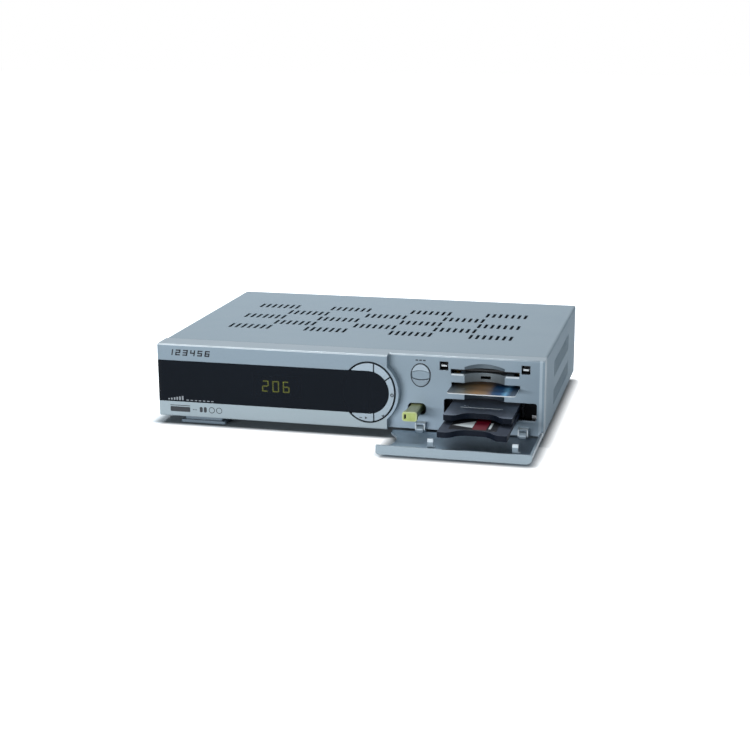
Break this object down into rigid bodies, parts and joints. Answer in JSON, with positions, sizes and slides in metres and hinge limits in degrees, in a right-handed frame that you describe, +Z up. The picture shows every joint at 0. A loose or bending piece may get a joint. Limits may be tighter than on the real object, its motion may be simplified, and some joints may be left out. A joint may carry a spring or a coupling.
{
  "type": "satellite television receiver",
  "caption": "Flat set-top satellite receiver: dark display band with ring buttons, drop-down door over card slots and access modules, vented cover, rear sockets.",
  "frame": {"origin": "bottom centre of the bounding box with the door open, on the floor under the rubber pads", "axes": "+X to the right seen from the front, +Y from the front to the back, +Z up"},
  "size_m": [0.32, 0.2936, 0.068],
  "materials": {
    "tray_steel": "zinc plated sheet",
    "rear_steel": "zinc plated sheet",
    "cover_paint": "satin silver blue",
    "bezel_plastic": "satin silver blue",
    "window_plastic": "dark tinted",
    "display_black": "matt",
    "digit_green": "lit",
    "circuit_green": "solder mask",
    "circuit_tan": "bare laminate",
    "switch_black": "moulded",
    "button_silver": "satin silver",
    "socket_black": "moulded",
    "socket_steel": "plated",
    "stick_green": "satin",
    "card_plastic": "printed card",
    "contact_brass": "gold plated",
    "reader_black": "moulded",
    "standoff_brass": "turned",
    "cage_steel": "dark plated",
    "module_charcoal": "satin charcoal",
    "label_paper": "printed label",
    "door_plastic": "satin silver blue",
    "pin_steel": "bright",
    "plunger_white": "moulded",
    "screw_steel": "zinc plated",
    "transformer_tape": "tape wrapped",
    "capacitor_sleeve": "sleeved",
    "heat_sink": "extruded",
    "fuse_ceramic": "tube",
    "chip_black": "moulded",
    "can_steel": "tin plated",
    "connector_chrome": "nickel plated",
    "collar_yellow": "moulded",
    "rocker_black": "moulded",
    "foot_silver": "satin silver",
    "pad_rubber": "matt",
    "ribbon_grey": "flat cable"
  },
  "bodies": {
    "case": {"chassis_tray": "tray_steel", "rear_panel": "rear_steel", "top_cover": "cover_paint", "front_bezel": "bezel_plastic", "display_window": "window_plastic", "display_module": "display_black", "lit_digits": "digit_green", "front_board": "circuit_green", "button_switches": "switch_black", "usb_guide": "socket_black", "usb_socket": "socket_steel", "card_reader_lower": "reader_black", "card_reader_upper": "reader_black", "reader_board": "circuit_green", "reader_standoffs": "standoff_brass", "ci_cage": "cage_steel", "ci_connectors": "reader_black", "latch_housings": "switch_black", "main_board": "circuit_green", "power_board": "circuit_tan", "board_standoffs": "standoff_brass", "case_screws": "screw_steel", "power_transformer": "transformer_tape", "power_capacitors": "capacitor_sleeve", "heat_sinks": "heat_sink", "mains_fuse": "fuse_ceramic", "board_chips": "chip_black", "tuner_module": "can_steel", "f_connectors": "connector_chrome", "rf_modulator": "can_steel", "aerial_connectors": "connector_chrome", "scart_sockets": "socket_black", "rca_jacks": "connector_chrome", "rca_collars": "collar_yellow", "rca_housing": "socket_black", "serial_optical_sockets": "socket_black", "mains_inlet": "socket_black", "mains_pins": "contact_brass", "mains_switch_frame": "socket_black", "feet": "foot_silver", "foot_pads": "pad_rubber", "ribbon_cable": "ribbon_grey"},
    "door": {"door_panel": "door_plastic", "hinge_pins": "pin_steel"},
    "card": {"smart_card": "card_plastic", "card_chip": "contact_brass"},
    "stick": {"usb_stick": "stick_green", "usb_stick_plug": "socket_steel"},
    "module_upper": {"ci_module_upper": "module_charcoal"},
    "module_lower": {"ci_module_lower": "module_charcoal", "module_label": "label_paper"},
    "button_top": {"ring_button_top": "button_silver"},
    "button_upper": {"ring_button_upper": "button_silver"},
    "button_right": {"ring_button_right": "button_silver"},
    "button_bottom": {"ring_button_bottom": "button_silver"},
    "button_up": {"channel_button_up": "button_silver"},
    "button_down": {"channel_button_down": "button_silver"},
    "plunger_left": {"latch_plunger_left": "plunger_white"},
    "plunger_right": {"latch_plunger_right": "plunger_white"},
    "rocker": {"mains_rocker": "rocker_black"}
  },
  "joints": [
    {"name": "door_hinge", "type": "hinge", "parent": "case", "child": "door", "pos_m": [0.1, -0.08625, 0.0075], "axis": [-1, 0, 0], "range_deg": [0, 90]},
    {"name": "card_slide", "type": "slide", "parent": "case", "child": "card", "axis": [0, 1, 0], "range_m": [0, 0.0202]},
    {"name": "stick_slide", "type": "slide", "parent": "case", "child": "stick", "axis": [0, 1, 0], "range_m": [0, 0.0217]},
    {"name": "module_upper_slide", "type": "slide", "parent": "case", "child": "module_upper", "axis": [0, 1, 0], "range_m": [0, 0.0347]},
    {"name": "module_lower_slide", "type": "slide", "parent": "case", "child": "module_lower", "axis": [0, 1, 0], "range_m": [0, 0.1072]},
    {"name": "button_top_press", "type": "slide", "parent": "case", "child": "button_top", "axis": [0, 1, 0], "range_m": [0, 0.0008], "stiffness_N_per_m": 600},
    {"name": "button_upper_press", "type": "slide", "parent": "case", "child": "button_upper", "axis": [0, 1, 0], "range_m": [0, 0.0008], "stiffness_N_per_m": 600},
    {"name": "button_right_press", "type": "slide", "parent": "case", "child": "button_right", "axis": [0, 1, 0], "range_m": [0, 0.0008], "stiffness_N_per_m": 600},
    {"name": "button_bottom_press", "type": "slide", "parent": "case", "child": "button_bottom", "axis": [0, 1, 0], "range_m": [0, 0.0008], "stiffness_N_per_m": 600},
    {"name": "button_up_press", "type": "slide", "parent": "case", "child": "button_up", "axis": [0, 1, 0], "range_m": [0, 0.0008], "stiffness_N_per_m": 600},
    {"name": "button_down_press", "type": "slide", "parent": "case", "child": "button_down", "axis": [0, 1, 0], "range_m": [0, 0.0008], "stiffness_N_per_m": 600},
    {"name": "plunger_left_press", "type": "slide", "parent": "case", "child": "plunger_left", "axis": [0, 1, 0], "range_m": [0, 0.0009], "stiffness_N_per_m": 400},
    {"name": "plunger_right_press", "type": "slide", "parent": "case", "child": "plunger_right", "axis": [0, 1, 0], "range_m": [0, 0.0009], "stiffness_N_per_m": 400},
    {"name": "rocker_tilt", "type": "hinge", "parent": "case", "child": "rocker", "pos_m": [-0.104, 0.13375, 0.033], "axis": [1, 0, 0], "range_deg": [-22, 0]}
  ],
  "couplings": [
    {"joint": "card_slide", "follows": "door_hinge", "m_per_rad": 0.012732},
    {"joint": "stick_slide", "follows": "door_hinge", "m_per_rad": 0.013687},
    {"joint": "module_upper_slide", "follows": "door_hinge", "m_per_rad": 0.021963},
    {"joint": "module_lower_slide", "follows": "door_hinge", "m_per_rad": 0.068118}
  ]
}
